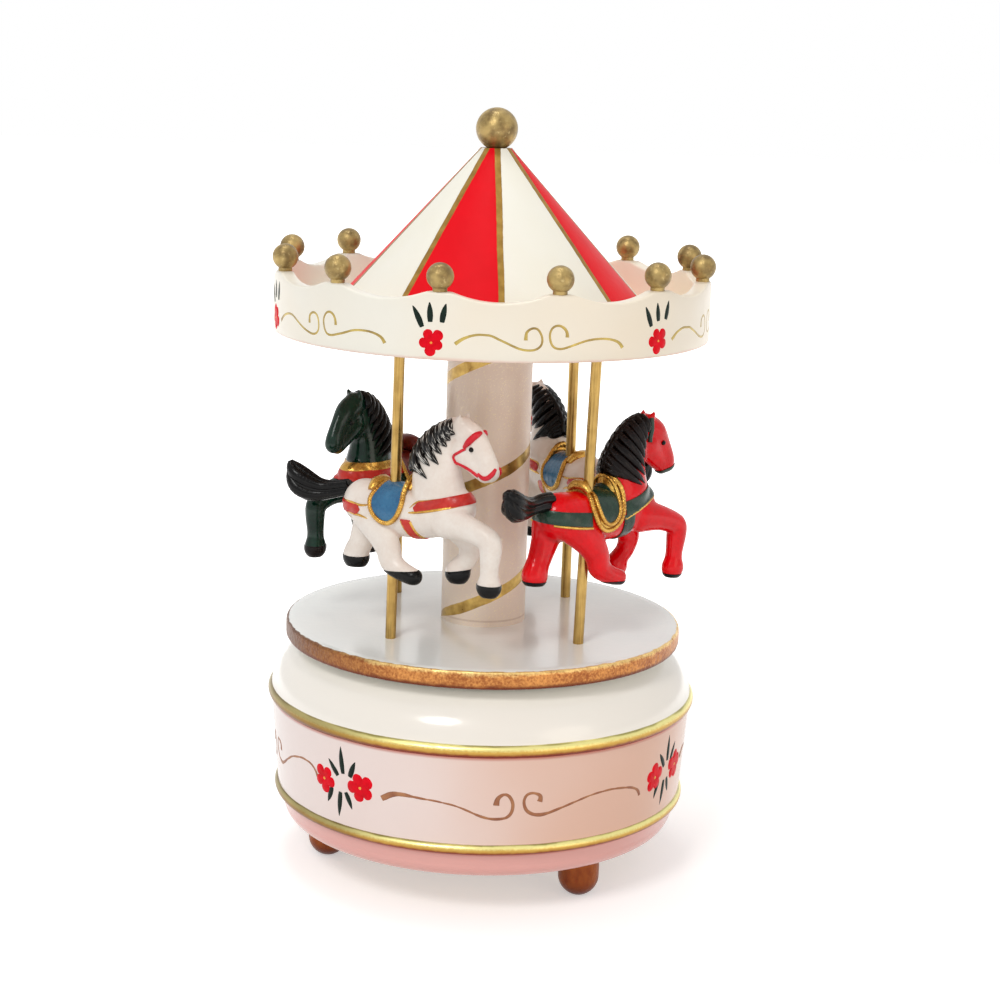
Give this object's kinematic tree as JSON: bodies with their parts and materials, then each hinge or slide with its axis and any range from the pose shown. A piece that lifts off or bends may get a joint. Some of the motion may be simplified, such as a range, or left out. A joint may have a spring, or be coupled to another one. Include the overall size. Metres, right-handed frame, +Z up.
{
  "type": "carousel music box",
  "caption": "Wind-up carousel music box: a turned wooden base with a spring movement, and a turning platform with horses on poles, a column and a scalloped canopy.",
  "frame": {"origin": "on the table under the winding arbor, at the middle of the base", "axes": "+Z up along the winding arbor; -Y is the front"},
  "size_m": [0.105, 0.105, 0.1836],
  "materials": {
    "base_paint": "pale pink and white gloss paint on turned wood, with gold bead rings and painted flowers",
    "bare_wood": "bare turned wood",
    "copper_gold_paint": "copper-gold metallic paint on wood",
    "brass": "stamped brass",
    "steel": "bright steel",
    "dark_steel": "dark hardened steel",
    "platform_paint": "pearly white gloss paint on wood, with a copper-gold edge",
    "column_paint": "pearl beige paint on wood, with a gold spiral",
    "canopy_paint": "warm white satin paint on wood, with gold scrolls and red flowers",
    "cone_paint": "red and white sectors with gold lines, satin paint on wood",
    "gold_paint": "antique gold metallic paint on wood",
    "gold_rod": "gold lacquered metal rod",
    "white_resin": "cast resin, hand painted pearly white",
    "red_resin": "cast resin, hand painted glossy red",
    "green_resin": "cast resin, hand painted dark green"
  },
  "bodies": {
    "base": {"base_drum": "base_paint", "bottom_plate": "bare_wood", "plate_screws": "brass", "foot_1": "copper_gold_paint", "foot_2": "copper_gold_paint", "foot_3": "copper_gold_paint", "roof_bush": "brass", "bedplate": "steel", "bedplate_screws": "dark_steel", "spring_can": "brass", "can_screws": "dark_steel", "mainspring": "dark_steel", "comb": "steel", "comb_screws": "dark_steel", "governor_frame": "brass", "governor_screws": "dark_steel"},
    "carousel": {"winding_arbor": "steel", "ratchet_wheel": "steel", "click": "steel", "crown_wheel": "brass", "deck_hub": "steel", "hub_screws": "dark_steel", "platform": "platform_paint", "column": "column_paint", "canopy_dowel": "bare_wood", "canopy_rim": "canopy_paint", "canopy_cone": "cone_paint", "finial": "gold_paint", "canopy_ball_1": "gold_paint", "canopy_ball_2": "gold_paint", "canopy_ball_3": "gold_paint", "canopy_ball_4": "gold_paint", "canopy_ball_5": "gold_paint", "canopy_ball_6": "gold_paint", "canopy_ball_7": "gold_paint", "canopy_ball_8": "gold_paint", "canopy_ball_9": "gold_paint", "canopy_ball_10": "gold_paint", "canopy_ball_11": "gold_paint", "canopy_ball_12": "gold_paint", "pole_1": "gold_rod", "pole_2": "gold_rod", "pole_3": "gold_rod", "pole_4": "gold_rod", "horse_white_front": "white_resin", "horse_red": "red_resin", "horse_white_back": "white_resin", "horse_green": "green_resin"},
    "cylinder": {"music_cylinder": "brass", "cylinder_pins": "steel", "cylinder_shaft": "steel", "cylinder_pinion": "brass", "cylinder_gear": "brass"},
    "governor": {"governor_wheel": "brass", "governor_pinion": "steel"},
    "fly": {"fly_worm": "steel", "fly_vane": "brass"}
  },
  "joints": [
    {"name": "carousel_spin", "type": "hinge", "parent": "base", "child": "carousel", "pos_m": [0, 0, 0], "axis": [0, 0, 1], "continuous": true},
    {"name": "cylinder_spin", "type": "hinge", "parent": "base", "child": "cylinder", "pos_m": [0.02, 0, 0.0282], "axis": [1, 0, 0], "continuous": true},
    {"name": "governor_spin", "type": "hinge", "parent": "base", "child": "governor", "pos_m": [0.02, 0.00742, 0.03562], "axis": [1, 0, 0], "continuous": true},
    {"name": "fly_spin", "type": "hinge", "parent": "base", "child": "fly", "pos_m": [0.0305, 0, 0.04337], "axis": [0, 1, 0], "continuous": true}
  ],
  "couplings": [
    {"joint": "cylinder_spin", "follows": "carousel_spin", "ratio": -3},
    {"joint": "governor_spin", "follows": "carousel_spin", "ratio": 9.6},
    {"joint": "fly_spin", "follows": "carousel_spin", "ratio": 230.4}
  ]
}
